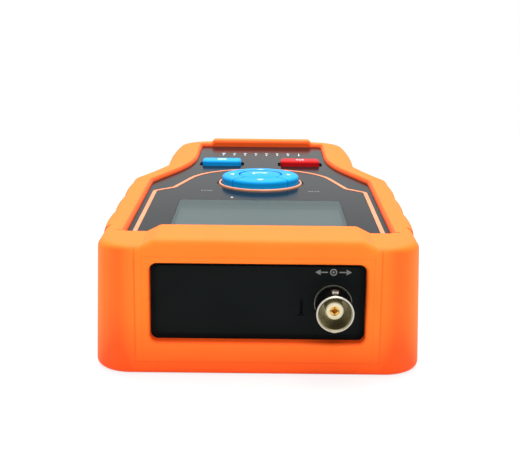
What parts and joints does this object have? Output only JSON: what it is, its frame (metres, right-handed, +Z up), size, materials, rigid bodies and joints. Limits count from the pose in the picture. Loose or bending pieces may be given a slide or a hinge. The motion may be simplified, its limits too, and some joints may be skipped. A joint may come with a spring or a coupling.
{
  "type": "ethernet cable tester",
  "caption": "Handheld ethernet cable tester in a contoured rubber boot, with a display, a round key pad, bar keys, a coaxial jack and a network socket.",
  "frame": {"origin": "on the ground, under the middle of the whole length and width", "axes": "+Z up through the face, -Y towards the end with the coaxial jack, +X to the right of that end"},
  "size_m": [0.0874, 0.1878, 0.0371],
  "materials": {
    "boot_rubber": "satin",
    "casing_plastic": "matte",
    "overlay_gloss": "gloss",
    "accent_orange": "satin",
    "window_clear": "gloss",
    "display_grey": "gloss",
    "backlight_white": "satin",
    "key_blue": "satin",
    "key_red": "satin",
    "mat_silicone": "matte",
    "board_green": "satin",
    "chip_black": "matte",
    "ribbon_amber": "satin",
    "connector_cream": "matte",
    "nickel": "satin",
    "contact_gold": "gloss",
    "socket_black": "satin",
    "cell_jacket": "satin",
    "wire_red": "satin",
    "screw_steel": "satin"
  },
  "bodies": {
    "tester": {"rubber_boot": "boot_rubber", "upper_casing": "casing_plastic", "lower_casing": "casing_plastic", "end_panel": "casing_plastic", "far_panel": "casing_plastic", "lcd_frame": "casing_plastic", "face_overlay": "overlay_gloss", "accent_inlay": "accent_orange", "nav_ring": "accent_orange", "display_window": "window_clear", "lcd_glass": "display_grey", "backlight": "backlight_white", "keypad_mat": "mat_silicone", "main_board": "board_green", "controller_chip": "chip_black", "board_parts": "chip_black", "lcd_ribbon": "ribbon_amber", "lcd_connector": "connector_cream", "bnc_insulator": "connector_cream", "bnc_shell": "nickel", "bnc_washer": "nickel", "bnc_nut": "nickel", "battery_plates": "nickel", "battery_springs": "nickel", "bnc_contact": "contact_gold", "jack_contacts": "contact_gold", "jack_housing": "socket_black", "battery_cells": "cell_jacket", "bnc_lead": "wire_red", "battery_leads": "wire_red", "case_screws": "screw_steel", "board_screws": "screw_steel"},
    "up_key_cap": {"up_key": "key_blue"},
    "right_key_cap": {"right_key": "key_blue"},
    "down_key_cap": {"down_key": "key_blue"},
    "left_key_cap": {"left_key": "key_blue"},
    "enter_key_cap": {"enter_key": "key_blue"},
    "function_key_cap": {"function_key": "key_blue"},
    "power_key_cap": {"power_key": "key_red"},
    "door": {"battery_door": "casing_plastic", "door_screws": "screw_steel"}
  },
  "joints": [
    {"name": "up_key_press", "type": "slide", "parent": "tester", "child": "up_key_cap", "axis": [0, 0, -1], "range_m": [0, 0.0008], "stiffness_N_per_m": 2000, "deforming": ["keypad_mat"]},
    {"name": "right_key_press", "type": "slide", "parent": "tester", "child": "right_key_cap", "axis": [0, 0, -1], "range_m": [0, 0.0008], "stiffness_N_per_m": 2000, "deforming": ["keypad_mat"]},
    {"name": "down_key_press", "type": "slide", "parent": "tester", "child": "down_key_cap", "axis": [0, 0, -1], "range_m": [0, 0.0008], "stiffness_N_per_m": 2000, "deforming": ["keypad_mat"]},
    {"name": "left_key_press", "type": "slide", "parent": "tester", "child": "left_key_cap", "axis": [0, 0, -1], "range_m": [0, 0.0008], "stiffness_N_per_m": 2000, "deforming": ["keypad_mat"]},
    {"name": "enter_key_press", "type": "slide", "parent": "tester", "child": "enter_key_cap", "axis": [0, 0, -1], "range_m": [0, 0.0008], "stiffness_N_per_m": 2000, "deforming": ["keypad_mat"]},
    {"name": "function_key_press", "type": "slide", "parent": "tester", "child": "function_key_cap", "axis": [0, 0, -1], "range_m": [0, 0.0008], "stiffness_N_per_m": 2000, "deforming": ["keypad_mat"]},
    {"name": "power_key_press", "type": "slide", "parent": "tester", "child": "power_key_cap", "axis": [0, 0, -1], "range_m": [0, 0.0008], "stiffness_N_per_m": 2000, "deforming": ["keypad_mat"]},
    {"name": "door_lift_off", "type": "slide", "parent": "tester", "child": "door", "axis": [0, 0, -1], "range_m": [0, 0.03]}
  ]
}
